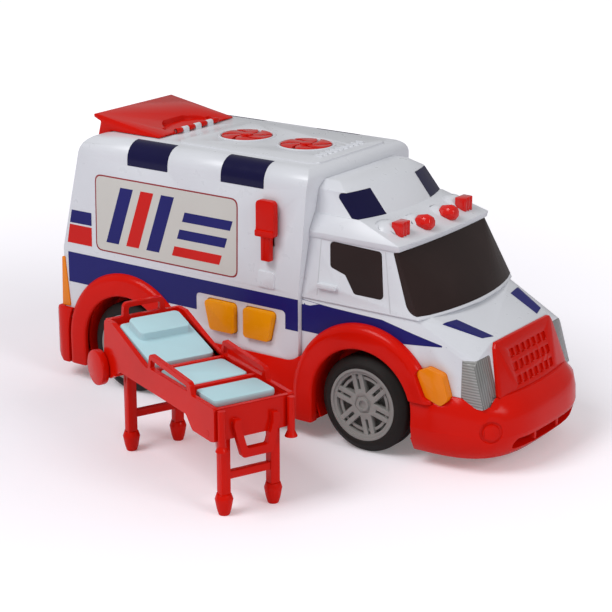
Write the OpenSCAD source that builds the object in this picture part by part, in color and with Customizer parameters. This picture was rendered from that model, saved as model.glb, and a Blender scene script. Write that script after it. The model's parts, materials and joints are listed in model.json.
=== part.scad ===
// Toy ambulance with a lift-up tailgate and a loose stretcher.
// Millimetres, +X to the front, +Y to the left, +Z up, ground at z = 0.

/* [Cargo box] */
// Half width of the box up to its belt line
box_half_w = 55.8; // [54:0.1:58]
// Inward lean of each side wall at the roof
box_lean = 1.6; // [0:0.1:3]
// Height of the roof
roof_z = 160; // [156:0.5:166]
// Height of the belt line
belt_z = 86; // [84:0.5:88]
// Height of the lower rim of the shell
shell_rim_z = 40; // [36:0.5:43]
// Rear wall at the belt line
box_rear_x = -154; // [-158:0.5:-151]
// Forward lean of the rear wall at the roof
rear_lean = 16.5; // [12:0.5:18]
// Front wall at the belt line
box_front_x = 27.5; // [25:0.5:30]
// Forward lean of the front wall at the roof
front_lean = 5.5; // [3:0.5:7]
// Radius along the long roof edges
roof_edge_r = 11; // [8:0.5:13]
// Radius of the rear roof edge
rear_edge_r = 14; // [10:0.5:16]
// Radius of the front roof edge
front_edge_r = 7; // [4:0.5:9]
// Wall of the moulded shell
shell_wall = 2.4; // [1.8:0.1:3]
// Height of the cargo floor's top face
floor_z = 76; // [74:0.5:80]
// Thickness of the cargo floor
floor_t = 2; // [1.6:0.1:3]
// Height of the raised panel on the roof
roof_panel_h = 0.8; // [0.4:0.1:1.2]
// Number of short ribs at the front of the roof
roof_ribs = 9; // [5:1:11]

/* [Cab] */
// Half width of the cab below the belt line
cab_half_w = 53; // [51:0.5:54]
// Half width of the cab at the top of the windscreen
cab_top_half_w = 48.2; // [46:0.2:50]
// Middle of the windscreen's lower edge
screen_low_x = 116.5; // [112:0.5:119]
// Middle of the windscreen's upper edge
screen_top_x = 91; // [88:0.5:94]
// Height of the windscreen's upper edge
screen_top_z = 121; // [118:0.5:124]
// Bow of the windscreen's lower edge
screen_bow = 9.5; // [6:0.5:11]
// Front of the visor above the windscreen
visor_x = 94; // [92:0.5:97]
// Foot of the sloping forehead
forehead_low_x = 70; // [66:0.5:72]
// Top of the sloping forehead
forehead_top_x = 57.5; // [55:0.5:60]
// Height of the forehead's foot
forehead_low_z = 134; // [131:0.5:136]
// Height of the forehead's shoulder
forehead_top_z = 148; // [146:0.5:150]
// Height of the cab roof
cab_roof_z = 152.5; // [151:0.5:155]
// Front upper edge of the bonnet
bonnet_front_x = 142; // [139:0.5:144]
// Height of the bonnet's front edge
bonnet_front_z = 73.8; // [71:0.2:75]
// Height of the shoulder beside the bonnet's front edge
bonnet_side_z = 66.3; // [64:0.2:68]
// Foot of the nose in the middle
nose_x = 154; // [151:0.5:156]
// Half width of the nose at the lamps
nose_half_w = 50.4; // [49:0.2:52]

/* [Lower frame] */
// Half width over the wheel arches
arch_half_w = 59.5; // [58.5:0.1:61]
// Half width over the side skirts
skirt_half_w = 57.5; // [57:0.1:58.4]
// Height of the skirts' upper edge
skirt_top_z = 46; // [44:0.5:48]
// Height of the skirts' lower edge
skirt_low_z = 11; // [9:0.5:13]
// Radial width of a wheel arch
arch_band = 14.5; // [12:0.5:16]
// Gap between tyre and wheel arch
arch_gap = 4.6; // [4:0.1:6]
// Radius where an arch runs into a skirt
arch_fillet = 14; // [10:0.5:18]
// Rearmost point of the rear bumper
rear_bumper_x = -165.5; // [-168:0.5:-162]
// Height of the rear bumper
rear_bumper_z = 47.5; // [46:0.5:50]
// Foremost point of the front bumper
bumper_x = 165.5; // [162:0.5:168]
// Joint between frame and front bumper
bumper_joint_x = 105; // [103:0.5:107]
// Height of the front bumper under the grille
bumper_top_z = 45; // [43:0.5:46]
// Height of the front bumper beside the lamps
bumper_side_z = 39; // [37:0.5:40]
// Thickness of the floor pan
pan_t = 3; // [2.4:0.1:4]

/* [Wheels] */
// Outer radius of a tyre
tyre_r = 29; // [28:0.2:30]
// Width of a tyre
tyre_w = 20; // [17:0.5:21]
// Outer face of a tyre from the middle plane
tyre_face_y = 57.2; // [56.5:0.1:58]
// Outer radius of a rim
rim_r = 21.7; // [20:0.1:23]
// Number of double spokes
spokes = 6; // [5:1:8]
// Radius of an axle
axle_r = 2; // [1.5:0.1:2.5]
// Distance between the axles
wheelbase = 174.5; // [172:0.5:177]
// Front axle from the middle of the car
front_axle_x = 72.5; // [71:0.5:74]

/* [Windows and lamps] */
// Thickness of the window panes
pane_t = 1.6; // [1:0.1:2]
// Lower edge of the roof corner windows
corner_window_z = 145.6; // [143:0.2:148]
// Length of a roof corner window
corner_window_len = 31; // [28:0.5:34]
// Distance of their inner edge from the middle plane
corner_window_in = 43.4; // [41:0.2:45]
// Rear end of the rear corner windows
rear_window_x = -100.2; // [-104:0.2:-98]
// Rear end of the front corner windows
front_window_x = -29; // [-33:0.2:-27]
// Radius of a roof fan
fan_r = 15.8; // [14:0.1:17]
// Number of fan blades
fan_blades = 6; // [5:1:8]
// Centre of the rear roof fan
rear_fan_x = -50.6; // [-54:0.2:-48]
// Centre of the front roof fan
front_fan_x = -6.3; // [-9:0.2:-4]
// Distance of the outer beacons from the middle plane
outer_beacon_y = 34.5; // [32:0.5:37]
// Distance of the inner beacons from the middle plane
inner_beacon_y = 13.2; // [11:0.2:15]
// Rows of grille openings
grille_rows = 3; // [2:1:4]
// Openings in one row
grille_cells = 7; // [5:1:9]
// How far the grille stands out from the nose
grille_proud = 2.2; // [1.6:0.1:3]

/* [Tailgate] */
// Half width of the tailgate
gate_half_w = 37; // [35:0.5:38]
// Hinge axis along the car
hinge_x = -89.5; // [-92:0.5:-88]
// Radius of a hinge knuckle
knuckle_r = 1.7; // [1.5:0.1:2]
// Radius of the hinge pin
hinge_pin_r = 0.9; // [0.7:0.05:1]
// Width of one knuckle
knuckle_w = 6; // [5:0.5:7]
// Rear tip of the roof lip
lip_x = -141.5; // [-144:0.5:-139]
// Height of the roof lip
lip_z = 170; // [168:0.5:172]
// Thickness of the door panel
door_t = 2.2; // [1.8:0.1:3]

/* [Controls] */
// Upper left corner of the rear button along the car
button_x = -40; // [-42:0.5:-38]
// Width of a button at its top
button_w = 22.6; // [20:0.2:24]
// Space between the two buttons
button_space = 6.6; // [5:0.2:9]
// Height of a button's upper edge
button_top_z = 73; // [71:0.2:73.4]
// Height of a button
button_h = 18.4; // [16:0.2:20]
// Slant of a button's outer side
button_slant = 4.2; // [2:0.2:6]
// How far a button stands out from the wall
button_proud = 3.2; // [2.4:0.1:4]
// Middle of the side lever along the car
lever_x = 7; // [5:0.5:9]
// Lower end of the lever's head
lever_z = 119; // [117:0.5:121]
// Width of the lever's head
lever_w = 13; // [11:0.5:14]
// Height of the lever's head
lever_h = 21.5; // [18:0.5:23]
// Travel of the lever in its slot
lever_travel = 6; // [4:0.5:8]

/* [Inner pieces] */
// Radius of a battery
battery_r = 7; // [6.5:0.1:7.2]
// Length of a battery
battery_len = 50; // [48:0.5:51]
// Radius of the loudspeaker
speaker_r = 14; // [12:0.5:16]

/* [Stretcher] */
// Middle of the stretcher along the car
cot_x = 17.4; // [10:0.2:20]
// Middle of the stretcher across the car
cot_y = -136.5; // [-160:0.5:-132]
// Turn of the stretcher on the ground
cot_turn = -22.8; // [-30:0.2:-15]
// Half width of the bed
bed_half_w = 24.5; // [23:0.5:26]
// Foot end of the bed
bed_foot = 61; // [59:0.5:64]
// Head end of the bed
bed_head = -66; // [-69:0.5:-64]
// Height of the bed's deck
deck_z = 60; // [58:0.5:63]
// Height of the raised head end
head_z = 78; // [76:0.5:81]
// Wall of the bed's side plates
bed_wall = 3; // [2.4:0.1:3.6]
// Distance of each leg frame from the middle
leg_at = 54; // [51:0.5:55]
// Half distance between the two legs of a frame
leg_half = 15.2; // [13:0.2:15.6]
// Thickness of a leg
leg_t = 5.6; // [4.6:0.1:6]
// Height of the leg hinge
leg_hinge_z = 48; // [46:0.5:49]
// Radius of the leg pins and of the roller shaft
cot_pin_r = 1.5; // [1.2:0.1:1.8]
// Radius of a head roller
roller_r = 10.4; // [9:0.2:11]
// Width of a head roller
roller_w = 4.4; // [3.6:0.1:5]

/* [Fits] */
// Radial clearance of a shaft that turns
run_gap = 0.05; // [0.02:0.01:0.09]
// Clearance between pieces that move past each other
move_gap = 0.4; // [0.3:0.05:0.6]

/* [Hidden] */
$fn = 48;
rear_axle_x = front_axle_x - wheelbase;
axle_z = tyre_r;
well_r = tyre_r + arch_gap;
liner_t = 1.6;
arch_r = well_r + arch_band;
well_y = tyre_face_y - tyre_w - 2;
screen_corner_x = screen_low_x - screen_bow;
inner_half_w = box_half_w - shell_wall;
pan_top_z = skirt_low_z + pan_t + 1;
pan_low_z = skirt_low_z + 1;
hinge_z = roof_z + knuckle_r + 0.4;
gate_neck_x = box_rear_x + rear_lean + 9;
white = [0.9, 0.91, 0.93];
red = [0.85, 0.1, 0.05];
navy = [0.1, 0.1, 0.42];
dark = [0.16, 0.12, 0.12];
amber = [0.95, 0.6, 0.05];
orange = [0.95, 0.48, 0.05];
clear_grey = [0.6, 0.6, 0.58];
black = [0.14, 0.13, 0.13];
grey = [0.5, 0.5, 0.49];
steel = [0.7, 0.7, 0.72];
pad_blue = [0.7, 0.83, 0.85];
green = [0.1, 0.4, 0.2];

// Plane geometry
function unit(v) = v / norm(v);
function corner(p, q, s, r, n) =
  r <= 0 ? [q] :
  let (u = unit(p - q))
  let (v = unit(s - q))
  let (half = acos(u * v) / 2)
  let (c = q + unit(u + v) * r / sin(half))
  let (from = q + u * r / tan(half) - c)
  let (to = q + v * r / tan(half) - c)
  let (a = atan2(from[1], from[0]))
  let (turn = (atan2(to[1], to[0]) - a + 540) % 360 - 180)
  [for (i = [0:n]) c + r * [cos(a + turn * i / n), sin(a + turn * i / n)]];
function rounded(pts, rs, n = 6) =
  let (m = len(pts))
  [for (i = [0:m - 1])
    each corner(pts[(i + m - 1) % m], pts[i], pts[(i + 1) % m], is_list(rs) ? rs[i] : rs, n)];
function normal_in(p, q) = unit([p[1] - q[1], q[0] - p[0]]);
function inset(pts, t) =
  let (m = len(pts))
  [for (i = [0:m - 1])
    let (a = normal_in(pts[(i + m - 1) % m], pts[i]))
    let (b = normal_in(pts[i], pts[(i + 1) % m]))
    pts[i] + t * (a + b) / (1 + a * b)];
function rect(w, h) = [[-w / 2, -h / 2], [w / 2, -h / 2], [w / 2, h / 2], [-w / 2, h / 2]];
function bowed(rear, middle, end, half_w, n = 12) = concat(
  [[rear, -half_w]],
  [for (i = [0:n]) let (s = 2 * i / n - 1) [end + (middle - end) * (1 - s * s), s * half_w]],
  [[rear, half_w]]);

// Extrusions along the car's own directions
module along_y(y0, y1) translate([0, y1, 0]) rotate([90, 0, 0]) linear_extrude(y1 - y0) children();
module along_x(x0, x1) translate([x0, 0, 0]) rotate([90, 0, 90]) linear_extrude(x1 - x0) children();
module slice(pts, z) translate([0, 0, z]) linear_extrude(0.02) polygon(pts);
module left_side() mirror([0, 1, 0]) children();
module both_sides() {
  children();
  left_side() children();
}
module axle_bar(x, z, r, y0, y1) translate([x, y1, z]) rotate([90, 0, 0]) cylinder(r = r, h = y1 - y0);

// Main volumes of the moulded shell
function box_side(rim) = [[box_rear_x, rim], [box_front_x, rim], [box_front_x, belt_z],
  [box_front_x + front_lean, roof_z], [box_rear_x + rear_lean, roof_z], [box_rear_x, belt_z]];
function box_section(rim) = [[-box_half_w, rim], [box_half_w, rim], [box_half_w, belt_z],
  [box_half_w - box_lean, roof_z], [box_lean - box_half_w, roof_z], [-box_half_w, belt_z]];
module box_volume(t = 0, rim = shell_rim_z) {
  side_r = [0, 0, 0, front_edge_r - t, rear_edge_r - t, 0];
  edge_r = [0, 0, 0, roof_edge_r - t, roof_edge_r - t, 0];
  intersection() {
    along_y(-box_half_w - 1, box_half_w + 1) polygon(rounded(inset(box_side(rim), t), side_r));
    along_x(box_rear_x - 1, box_front_x + front_lean + 1)
      polygon(rounded(inset(box_section(rim), t), edge_r));
  }
}
cab_rear_x = box_front_x - 1;
module greenhouse(t = 0) hull() {
  slice(bowed(cab_rear_x, screen_low_x - t, screen_corner_x - t, cab_half_w - t), belt_z - 1);
  slice(bowed(cab_rear_x, screen_top_x - t, screen_top_x - t - 2, cab_top_half_w - t), screen_top_z);
}
module visor() hull() {
  slice(bowed(cab_rear_x, visor_x - 0.8, visor_x - 3, cab_top_half_w + 0.8), screen_top_z - 0.4);
  slice(bowed(cab_rear_x, visor_x, visor_x - 2.4, cab_top_half_w + 1.2), screen_top_z + 3);
  slice(bowed(cab_rear_x, forehead_low_x, forehead_low_x - 8, cab_top_half_w - 3.4), forehead_low_z);
}
module forehead(t = 0) hull() {
  slice(bowed(cab_rear_x, forehead_low_x - t, forehead_low_x - 8.5 - t, cab_top_half_w - 3.8 - t),
    forehead_low_z - 1);
  slice(bowed(cab_rear_x, forehead_top_x - t, forehead_top_x - 7 - t, cab_top_half_w - 6 - t),
    forehead_top_z - t / 2);
  slice(bowed(cab_rear_x, forehead_top_x - 11 - t, forehead_top_x - 15 - t, cab_top_half_w - 12 - t),
    cab_roof_z - t);
}
function nose_section(w, top, side, flat) = [[-w, shell_rim_z], [w, shell_rim_z], [w, side - 3],
  [w - 2, side], [flat, top], [-flat, top], [2 - w, side], [-w, side - 3]];
module nose() hull() {
  along_x(cab_rear_x, cab_rear_x + 1) polygon(nose_section(cab_half_w, belt_z, belt_z - 0.4, 40));
  along_x(screen_corner_x - 4, screen_corner_x - 3)
    polygon(nose_section(cab_half_w, belt_z + 1.2, belt_z - 0.4, 46));
  along_x(bonnet_front_x - 1, bonnet_front_x)
    polygon(nose_section(nose_half_w, bonnet_front_z, bonnet_side_z, 32));
  slice(bowed(cab_rear_x, nose_x, nose_x - 6, nose_half_w), bumper_top_z - 2);
  slice(bowed(cab_rear_x, nose_x, nose_x - 6, nose_half_w), shell_rim_z);
}

// Outlines of windows, lamps and controls, seen from the side or from the front
screen_edge = [[screen_top_x - 4, screen_top_z - 0.5], [screen_corner_x - 7, belt_z + 2],
  [screen_corner_x + 2, belt_z + 0.6], [screen_low_x + 20, belt_z + 0.6], [visor_x + 20,
      screen_top_z - 0.5]];
door_window_edge = [[44.5, 120], [46, 105.4], [56.5, 102.4], [63.5, 92.6], [83.2, 92.4], [79.4, 119]];
forehead_edge = [[forehead_low_x - 13.5, forehead_low_z], [forehead_low_x + 5, forehead_low_z],
  [forehead_low_x - 8, forehead_top_z], [forehead_low_x - 26, forehead_top_z - 1]];
lamp_edge = [[36, 67.6], [38.2, 44], [60, 43], [60, 66.6], [50, 66.6]];
indicator_edge = [[108, 56.8], [115.6, 60.2], [125.3, 57.6], [129.6, 43.8], [124.6, 39.2], [114.8, 42.6]];
rear_lamp_edge = [[-156, 48], [-149.4, 48], [-152.8, 80], [-155, 80]];
grille_edge = [[-39.5, 44], [39.5, 44], [33, 70.5], [31, 73.4], [-31, 73.4], [-33, 70.5]];
button_pitch = button_w + button_space;
function button_edge(front) = front ?
  [[0, -button_h], [button_w - button_slant, -button_h], [button_w, 0], [0, 0]] :
  [[button_slant, -button_h], [button_w, -button_h], [button_w, 0], [0, 0]];
module button_shape(front, grow) translate([button_x + (front ? button_pitch : 0), button_top_z])
  polygon(rounded(inset(button_edge(front), -grow), 2.4 + grow));
module screen_mask() along_y(-60, 60) polygon(rounded(screen_edge, [1, 9, 0, 0, 0]));
module door_window_mask() along_y(-60, -30) polygon(rounded(door_window_edge, 2.4));
module forehead_mask() intersection() {
  along_y(-60, -24) polygon(rounded(forehead_edge, [0, 0, 0, 2]));
  translate([0, -60, forehead_low_z - 0.2]) cube([120, 36, 40]);
}
module lamp_mask() along_x(134.6, 160) mirror([1, 0]) polygon(rounded(lamp_edge, [1, 1, 0, 0, 0]));
module indicator_mask(y) along_y(-y, -20) polygon(rounded(indicator_edge, 3));
module rear_lamp_mask() along_y(-box_half_w - 0.6, -44) polygon(rounded(rear_lamp_edge, 0.8));
module corner_mask(x) translate([x, -70, corner_window_z]) cube([corner_window_len,
    70 - corner_window_in, 30]);

// Rounded humps behind the four beacons
module at_humps() both_sides() {
  translate([74, -outer_beacon_y - 1, 124]) scale(10.5) children();
  translate([77, -inner_beacon_y, 123.5]) scale(9.5) children();
}
module humps() at_humps() sphere(r = 1, $fn = 24);
module gate_knuckle(k) axle_bar(hinge_x, hinge_z, knuckle_r, k * knuckle_w - knuckle_w / 2 + 0.15,
  k * knuckle_w + knuckle_w / 2 - 0.15);
module shell_knuckle(k) {
  y0 = k * knuckle_w - knuckle_w / 2 + 0.15;
  y1 = y0 + knuckle_w - 0.3;
  axle_bar(hinge_x, hinge_z, knuckle_r, y0, y1);
  translate([hinge_x - knuckle_r, y0, roof_z - 1]) cube([2 * knuckle_r, y1 - y0, hinge_z - roof_z + 1]);
}
module gate_opening() {
  w = gate_half_w + move_gap;
  along_y(-w, w) polygon([[box_rear_x - 5, floor_z], [box_rear_x + 8, floor_z], [box_rear_x + 8, belt_z],
    [gate_neck_x - 6, roof_z - 12], [gate_neck_x + move_gap, roof_z - 5], [gate_neck_x + move_gap,
        roof_z + 5],
    [box_rear_x - 5, roof_z + 5]]);
}
module lever_slot() translate([lever_x - 2.6 - move_gap, -box_half_w - 3,
    lever_z - lever_travel - move_gap])
  cube([5.2 + 2 * move_gap, 8, 10 + lever_travel + 2 * move_gap]);

module wheel_cut() for (x = [front_axle_x, rear_axle_x]) {
  axle_bar(x, axle_z, well_r + liner_t + 0.2, -70, 70);
  translate([x - well_r - liner_t - 0.2, -70, 0]) cube([2 * (well_r + liner_t + 0.2), 140, axle_z]);
}
module cargo_box() color(white) difference() {
  union() {
    box_volume();
    translate([(rear_fan_x + front_fan_x) / 2 + 4, 0, roof_z - 1])
      linear_extrude(1 + roof_panel_h) polygon(rounded(rect(104, 76), 8));
    for (i = [0:roof_ribs - 1])
      translate([15, (i - (roof_ribs - 1) / 2) * 5.4 - 0.8, roof_z - 1]) cube([5.5, 1.6, 3]);
    for (k = [-2, 0, 2])
      shell_knuckle(k);
    translate([lever_x - 2.2, -box_half_w + 1, 92]) rotate([90, 0, 0])
      linear_extrude(2) polygon(rounded(rect(12, 10), 1.6));
  }
  box_volume(shell_wall, shell_rim_z - 3 * shell_wall);
  wheel_cut();
  gate_opening();
  axle_bar(hinge_x, hinge_z, hinge_pin_r, -30, 30);
  lever_slot();
  along_y(-70, -inner_half_w + 5) button_shape(false, move_gap);
  along_y(-70, -inner_half_w + 5) button_shape(true, move_gap);
  both_sides() {
    rear_lamp_mask();
    for (x = [rear_window_x, front_window_x])
      difference() {
        corner_mask(x);
        box_volume(pane_t);
      }
  }
  for (x = [rear_fan_x, front_fan_x])
    translate([x, 0, roof_z - 0.6]) cylinder(r = fan_r, h = 5);
}
module cab_shell() color(white) difference() {
  union() {
    greenhouse();
    visor();
    forehead();
    nose();
    at_humps() hull() sphere(r = 1, $fn = 24);
    both_sides() translate([45.5, -cab_half_w + 2, 94]) rotate([90, 0, 0])
      linear_extrude(3.4) polygon(rounded(rect(13.5, 3), 1.2));
  }
  box_volume();
  along_y(-44, 44) polygon([[20, 30], [104, 30], [104, 82], [84, 116], [box_front_x + 4, 116], [20, 116]]);
  translate([100, -40, 30]) cube([32, 80, 32]);
  wheel_cut();
  both_sides() {
    lamp_mask();
    indicator_mask(70);
  }
  difference() {
    union() {
      screen_mask();
      both_sides() door_window_mask();
    }
    greenhouse(pane_t);
  }
  difference() {
    both_sides() forehead_mask();
    forehead(pane_t);
  }
}

// Red lower frame with arches, skirts and rear bumper
function arc(c, r, from, to, n) = [for (i = [0:n])
  let (a = from + (to - from) * i / n)
  c + r * [cos(a), sin(a)]];
foot_rise = skirt_top_z - axle_z + arch_fillet;
foot_run = sqrt(pow(arch_r + arch_fillet, 2) - foot_rise * foot_rise);
foot_angle = atan2(foot_rise, foot_run);
foot_end = 16;
into_arch = 4;
tiny = 0.3;
function foot_half(s) =
  let (r = well_r + into_arch)
  [for (p = concat([[r, skirt_low_z - axle_z], [r, 0], r * [cos(foot_angle), sin(foot_angle)]],
      arc([foot_run, foot_rise], arch_fillet, 180 + foot_angle + foot_end, 270, 8)))
    [s * p[0], p[1] + axle_z]];
function backwards(pts) = [for (i = [len(pts) - 1:-1:0]) pts[i]];
function moved(pts, x) = [for (p = pts) p + [x, 0]];
function skirt_outline() = concat(moved(foot_half(1), rear_axle_x), backwards(moved(foot_half(-1),
    front_axle_x)));
module arch_section(inner_y) {
  polygon(rounded([[well_r, inner_y], [arch_r, inner_y], [arch_r, arch_half_w], [well_r, arch_half_w]],
    [0, 0, 5, 1.5]));
}
module arch(x, inner_y) translate([x, 0, axle_z]) {
  rotate([90, 0, 0]) rotate_extrude(angle = 180, $fn = 72) arch_section(inner_y);
  for (s = [0, 1])
    mirror([s, 0, 0]) translate([0, 0, skirt_low_z + tiny - axle_z])
      linear_extrude(axle_z - skirt_low_z - tiny) mirror([0, 1]) arch_section(inner_y);
}
module rear_bumper_volume() {
  front = rear_axle_x - well_r - 1;
  intersection() {
    along_y(-70, 70) polygon(rounded([[front, skirt_low_z], [box_rear_x - 2, skirt_low_z - 0.5],
      [rear_bumper_x, 18], [rear_bumper_x, rear_bumper_z - 7], [rear_bumper_x + 6, rear_bumper_z],
      [front, rear_bumper_z]], [0, 3, 3, 4, 4, 0]));
    linear_extrude(80) polygon(rounded([[rear_bumper_x, -skirt_half_w - 1], [front, -skirt_half_w - 1],
      [front, skirt_half_w + 1], [rear_bumper_x, skirt_half_w + 1]], [13, 0, 0, 13]));
  }
}
module side_frame() color(red) difference() {
  union() {
    arch(front_axle_x, cab_half_w + tiny / 2);
    arch(rear_axle_x, box_half_w + tiny / 2);
    along_y(-skirt_half_w, -box_half_w - tiny) polygon(skirt_outline());
    intersection() {
      along_y(-skirt_half_w + tiny, -cab_half_w - tiny) polygon(skirt_outline());
      translate([box_front_x + tiny, -80, 0]) cube([100, 80, 100]);
    }
  }
  indicator_mask(70);
  translate([box_front_x - 20, -box_half_w - tiny / 2, 0]) cube([20 + tiny / 2, 10, 100]);
  translate([front_axle_x, -80, 0]) cube([60, 80 - cab_half_w + 1, bumper_side_z]);
}
module rear_bumper() color(red) difference() {
  rear_bumper_volume();
  box_volume();
  translate([box_rear_x - 6, tiny - box_half_w, skirt_low_z + 4])
    cube([60, 2 * (box_half_w - tiny), rear_bumper_z - skirt_low_z - 7]);
  axle_bar(rear_axle_x, axle_z, arch_r, -80, 80);
  translate([rear_axle_x - arch_r, -80, 0]) cube([60, 160, axle_z]);
}

// Floor pan with wheel liners, axle bearings and the battery box
module wheel_liner(x, outer_y) intersection() {
  difference() {
    axle_bar(x, axle_z, well_r + liner_t, -outer_y, -well_y + liner_t);
    axle_bar(x, axle_z, well_r + 0.4, -outer_y - 1, -well_y);
    axle_bar(x, axle_z, axle_r + 1, -outer_y - 1, 0);
  }
  translate([x - 60, -70, pan_top_z - 1]) cube([120, 140, 90]);
}
module bearing(x) translate([x, 0, 0]) difference() {
  translate([-6, -well_y + 0.6, pan_top_z - 1]) cube([12, 8, axle_z - pan_top_z + 8]);
  axle_bar(0, axle_z, axle_r + run_gap, -well_y - 1, 0);
}
battery_box_x = -64;
battery_box_len = battery_len + 6;
battery_box_half_w = 2 * battery_r + 3;
speaker_x = 22;
pan_rear_x = rear_axle_x - well_r - 8;
module pan_plate() difference() {
  translate([pan_rear_x, -cab_half_w, pan_low_z])
    cube([bumper_joint_x - pan_rear_x, 2 * cab_half_w, pan_top_z - pan_low_z]);
  both_sides() for (x = [front_axle_x, rear_axle_x])
    translate([x - well_r - 0.4, -80, 0]) cube([2 * well_r + 0.8, 80 - well_y, 40]);
}
module chassis() color(red) difference() {
  union() {
    pan_plate();
    both_sides() {
      wheel_liner(front_axle_x, cab_half_w);
      wheel_liner(rear_axle_x, inner_half_w);
      bearing(front_axle_x);
      bearing(rear_axle_x);
    }
    translate([button_x - 3, -inner_half_w + 4.6, pan_top_z - 1])
      cube([2 * button_pitch + 4, 3.4, button_top_z - button_h - 6 - pan_top_z + 1]);
    translate([battery_box_x - 2, -battery_box_half_w - 2, pan_low_z])
      cube([battery_box_len + 4, 2 * battery_box_half_w + 4, 2 * battery_r + 6]);
    translate([speaker_x, 0, pan_low_z + 1]) cylinder(r = speaker_r + 2.4, h = pan_t + 5);
  }
  translate([speaker_x, 0, pan_low_z + pan_t]) cylinder(r = speaker_r + 0.2, h = 20);
  translate([battery_box_x, -battery_box_half_w, pan_low_z - 1])
    cube([battery_box_len, 2 * battery_box_half_w, 2 * battery_r + 20]);
  for (a = [0:60:300])
    translate([speaker_x + 7 * cos(a), 7 * sin(a), 0]) cylinder(r = 1.4, h = 30);
}

// Front bumper swept through four levels
function bumper_plan(cut) = [for (a = [-90:7.5:90])
  [bumper_joint_x + (bumper_x - bumper_joint_x - cut) * pow(cos(a), 0.62),
   (skirt_half_w + 0.8 - cut * 0.5) * sign(sin(a)) * pow(abs(sin(a)), 0.62)]];
module bumper_volume() hull() {
  slice(bumper_plan(9), skirt_low_z - 2);
  slice(bumper_plan(2.5), skirt_low_z + 4);
  slice(bumper_plan(0), 24);
  slice(bumper_plan(0.4), 32);
  slice(bumper_plan(2), bumper_side_z);
  slice(bumper_plan(8), bumper_top_z);
}
intake_edge = [[-37, 15], [37, 15], [33, 21], [-33, 21]];
post_y = 13;
fog_turn = 50;
module fog_lamp() translate([153, -48.5, 27]) rotate([0, 90, -fog_turn]) {
  difference() {
    translate([0, 0, -2.2]) cylinder(r = 6.4, h = 10);
    translate([0, 0, -3]) cylinder(r = 4.8, h = 12);
  }
  translate([0, 0, -0.7]) cylinder(r = 5, h = 8);
}
module intake() {
  along_x(bumper_x - 4, bumper_x + 5) polygon(rounded(intake_edge, 2));
  along_x(bumper_x - 11, bumper_x - 3.9) difference() {
    polygon(rounded(intake_edge, 2));
    for (y = [-post_y, post_y])
      translate([y - 1.5, 14]) square([3, 8]);
  }
}
module front_bumper() color(red) difference() {
  bumper_volume();
  nose();
  translate([bumper_joint_x - 1, -46, pan_top_z]) cube([46, 92, 60]);
  both_sides() {
    fog_lamp();
    axle_bar(front_axle_x, axle_z, well_r, -80, -well_y);
    axle_bar(front_axle_x, axle_z, well_r + liner_t + tiny, -cab_half_w - tiny, -well_y + liner_t + tiny);
    translate([bumper_joint_x - 1, -80, 0]) cube([front_axle_x + well_r - bumper_joint_x + 1,
        80 - well_y, axle_z]);
    indicator_mask(70);
    intersection() {
      axle_bar(front_axle_x, axle_z, arch_r + 0.1, -80, -cab_half_w + 1.2);
      translate([front_axle_x, -80, bumper_side_z]) cube([60, 80, 20]);
    }
  }
  intake();
}

grille_back = 0.9;
module grille() color(red) difference() {
  intersection() {
    translate([grille_proud, 0, 0]) nose();
    along_x(bonnet_front_x - 6, nose_x + 8) polygon(rounded(grille_edge, 1.6));
  }
  nose();
  bumper_volume();
  difference() {
    for (row = [0:grille_rows - 1], i = [0:grille_cells - 1])
      translate([0, (i - (grille_cells - 1) / 2) * 6.2, 50 + row * 7.4])
        along_x(bonnet_front_x - 4, nose_x + 8) polygon(rounded(rect(4.6, 4.8), 0.6));
    translate([grille_back, 0, 0]) nose();
  }
}
module headlamp() color(clear_grey) difference() {
  intersection() {
    nose();
    lamp_mask();
  }
  bumper_volume();
}
module indicator() color(orange) difference() {
  indicator_mask(arch_half_w - 2.6);
  translate([0, -48, 0]) cube([200, 40, 100]);
}
module rear_lamp() color(orange) difference() {
  rear_lamp_mask();
  box_volume(shell_wall);
}
module windscreen() color(dark) difference() {
  intersection() {
    greenhouse();
    screen_mask();
  }
  greenhouse(pane_t);
  visor();
  nose();
}
module door_window() color(dark) difference() {
  intersection() {
    greenhouse();
    door_window_mask();
  }
  greenhouse(pane_t);
}
module roof_window(x) color(navy) difference() {
  intersection() {
    box_volume();
    corner_mask(x);
  }
  box_volume(pane_t);
}
module forehead_window() color(navy) difference() {
  intersection() {
    forehead();
    forehead_mask();
  }
  forehead(pane_t);
  visor();
  humps();
}

// Beacons on the visor
module seat_on_visor() difference() {
  children();
  visor();
  humps();
}
module beacon_outer() color(red) seat_on_visor() translate([85, -outer_beacon_y, 125]) {
  for (i = [-1:1])
    translate([0, i * 3.1, 0]) {
      cylinder(r = 1.9, h = 9.6);
      translate([-5, -1.9, 0]) cube([5, 3.8, 9.6]);
    }
}
module beacon_inner() color(red) seat_on_visor() translate([82, -inner_beacon_y, 128.6]) rotate([0, 78,
    0]) {
  cylinder(r = 5, h = 6.5, $fn = 8);
  translate([0, 0, 6.5]) cylinder(r1 = 5, r2 = 3.2, h = 2.6, $fn = 8);
}
fan_hub_r = 3.8;
fan_swirl = 34;
blade_span = 300 / fan_blades;
function swirl(k, from) =
  let (r = fan_hub_r - 0.8 + (fan_r - 0.4 - fan_hub_r + 0.8) * k / 6)
  let (a = from + fan_swirl * k / 6)
  r * [cos(a), sin(a)];
function blade_edge() = concat(
  [for (k = [0:5]) swirl(k, 0)],
  arc([0, 0], fan_r - 0.4, fan_swirl, fan_swirl + blade_span, 6),
  [for (k = [5:-1:0]) swirl(k, blade_span)]);
module roof_fan(x) color(red) translate([x, 0, roof_z - 0.6]) {
  cylinder(r = fan_hub_r, h = 2.6);
  for (i = [0:fan_blades - 1])
    rotate([0, 0, i * 360 / fan_blades + 7]) linear_extrude(1.9) polygon(blade_edge());
}

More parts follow.
